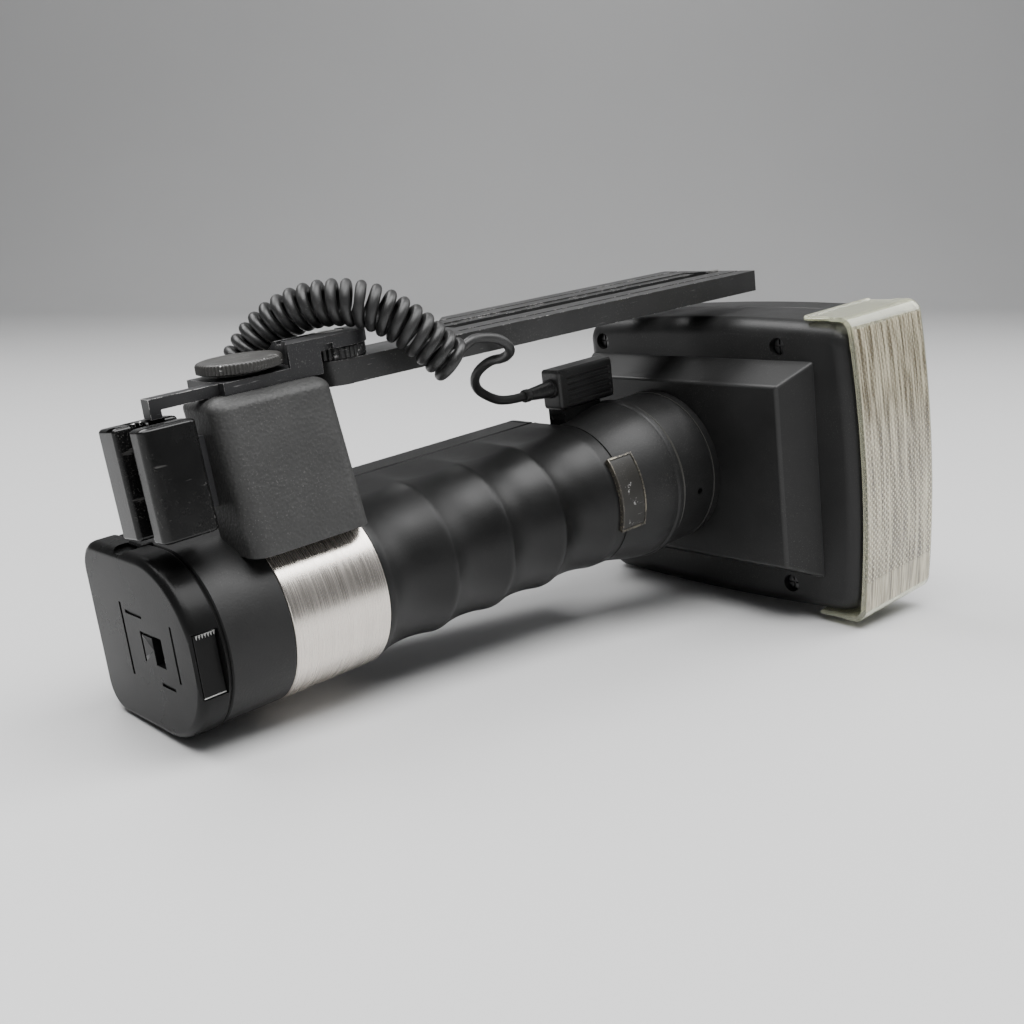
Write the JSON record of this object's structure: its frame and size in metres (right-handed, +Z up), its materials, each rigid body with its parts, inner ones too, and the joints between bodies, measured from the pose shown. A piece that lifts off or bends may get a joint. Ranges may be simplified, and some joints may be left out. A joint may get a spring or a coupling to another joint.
{
  "type": "handle mount flash",
  "caption": "Hammerhead flash: ribbed handle with battery drawer, swivel head with clip-on diffuser, clamp with knob, folded camera rail, shoe adapter and curly cord.",
  "frame": {"origin": "centre of the bounding box of all but the cord, on the surface the flash lies on", "axes": "+X along the handle from its end cap to the head, +Y towards the back of the flash, +Z up from the surface it lies on"},
  "size_m": [0.257, 0.1222, 0.1145],
  "materials": {
    "black_grip": "fine grain, moulded",
    "black_shell": "fine satin grain",
    "grey_box": "coarse leather grain",
    "gloss_black": "polished",
    "clear_cap": "clear, faintly yellow",
    "dark_metal": "satin black, edges worn bright",
    "black_alloy": "black anodised",
    "steel": "brushed",
    "cord_rubber": "smooth black",
    "lamp_glass": "clear",
    "window": "clear, ribbed",
    "mirror": "bright",
    "contact": "bright",
    "board": "lacquered",
    "cell_wrap": "printed sleeve without lettering",
    "white_scale": "white face",
    "red_lens": "clear red",
    "inner_plastic": "plain moulded"
  },
  "bodies": {
    "handle": {"lower_sleeve": "black_shell", "clamp_band": "steel", "grip_shell": "black_grip", "rear_panel": "black_grip", "neck_shell": "black_shell", "name_plate": "dark_metal", "spigot": "inner_plastic", "spigot_ring": "steel", "bay_wall": "inner_plastic", "bay_contacts": "contact", "converter_board": "board", "board_rails": "inner_plastic", "plug_socket": "gloss_black", "clamp_housing": "grey_box", "bracket_foot": "dark_metal", "pivot_screw": "steel", "adapter_rear": "gloss_black", "adapter_front": "gloss_black", "adapter_web": "gloss_black", "adapter_cradle": "inner_plastic", "plug_body": "cord_rubber", "plug_relief": "cord_rubber", "adapter_relief": "cord_rubber", "cord_coil": "cord_rubber", "cord_plug_lead": "cord_rubber", "cord_adapter_lead": "cord_rubber"},
    "drawer": {"end_cap": "black_shell", "basket_frame": "inner_plastic", "battery_cells": "cell_wrap", "cell_contacts": "contact", "latch_spring": "steel"},
    "latch": {"latch_button": "black_shell"},
    "knob": {"clamp_knob": "dark_metal", "clamp_stud": "steel"},
    "nut": {"band_nut": "steel"},
    "rail": {"camera_rail": "black_alloy", "rail_hub": "steel", "rail_stop": "steel"},
    "head": {"swivel_collar": "black_shell", "head_base": "black_shell", "head_cover": "black_shell", "head_screws": "steel", "window_pane": "window", "reflector": "mirror", "flash_tube": "lamp_glass", "tube_ends": "contact", "lamp_holders": "inner_plastic", "main_capacitor": "black_alloy", "capacitor_cradle": "inner_plastic", "head_board": "board", "board_posts": "inner_plastic", "trigger_coil": "inner_plastic", "control_panel": "black_shell", "scale_disc": "white_scale", "ready_lamp": "red_lens"},
    "diffuser_cap": {"diffuser": "clear_cap"},
    "dial": {"mode_dial": "gloss_black"},
    "switch": {"power_switch": "gloss_black"},
    "button": {"test_button": "gloss_black"}
  },
  "joints": [
    {"name": "battery_drawer", "type": "slide", "parent": "handle", "child": "drawer", "axis": [-0.9934, -0.0024, -0.1144], "range_m": [0, 0.112]},
    {"name": "drawer_latch", "type": "slide", "parent": "drawer", "child": "latch", "axis": [0.0024, 0.9991, -0.0423], "range_m": [0, 0.0015], "stiffness_N_per_m": 900, "springref_m": -0.001, "deforming": ["latch_spring"]},
    {"name": "clamp_knob_turn", "type": "hinge", "parent": "handle", "child": "knob", "pos_m": [-0.08976, 0.01486, 0.08898], "axis": [-0.1144, 0.0423, 0.9925], "range_deg": [0, 1080]},
    {"name": "band_nut_travel", "type": "slide", "parent": "handle", "child": "nut", "axis": [-0.1144, 0.0423, 0.9925], "range_m": [-0.003, 0]},
    {"name": "rail_swing", "type": "hinge", "parent": "handle", "child": "rail", "pos_m": [-0.06121, 0.01485, 0.09026], "axis": [-0.1144, 0.0423, 0.9925], "range_deg": [0, 90]},
    {"name": "head_turn", "type": "hinge", "parent": "handle", "child": "head", "pos_m": [0.06761, 0.01219, 0.04679], "axis": [0.9934, 0.0024, 0.1144], "range_deg": [-11, 9]},
    {"name": "diffuser_slide", "type": "slide", "parent": "head", "child": "diffuser_cap", "axis": [-0.0024, -0.9991, 0.0423], "range_m": [0, 0.03]},
    {"name": "dial_turn", "type": "hinge", "parent": "head", "child": "dial", "pos_m": [0.09896, 0.05591, 0.07171], "axis": [0.0024, 0.9991, -0.0423], "range_deg": [-120, 120]},
    {"name": "switch_slide", "type": "slide", "parent": "head", "child": "switch", "axis": [-0.1144, 0.0423, 0.9925], "range_m": [0, 0.005]},
    {"name": "button_press", "type": "slide", "parent": "head", "child": "button", "axis": [-0.0024, -0.9991, 0.0423], "range_m": [0, 0.0012], "stiffness_N_per_m": 700, "springref_m": -0.001}
  ],
  "couplings": [
    {"joint": "clamp_knob_turn", "follows": "band_nut_travel", "rad_per_m": -6283.2}
  ]
}
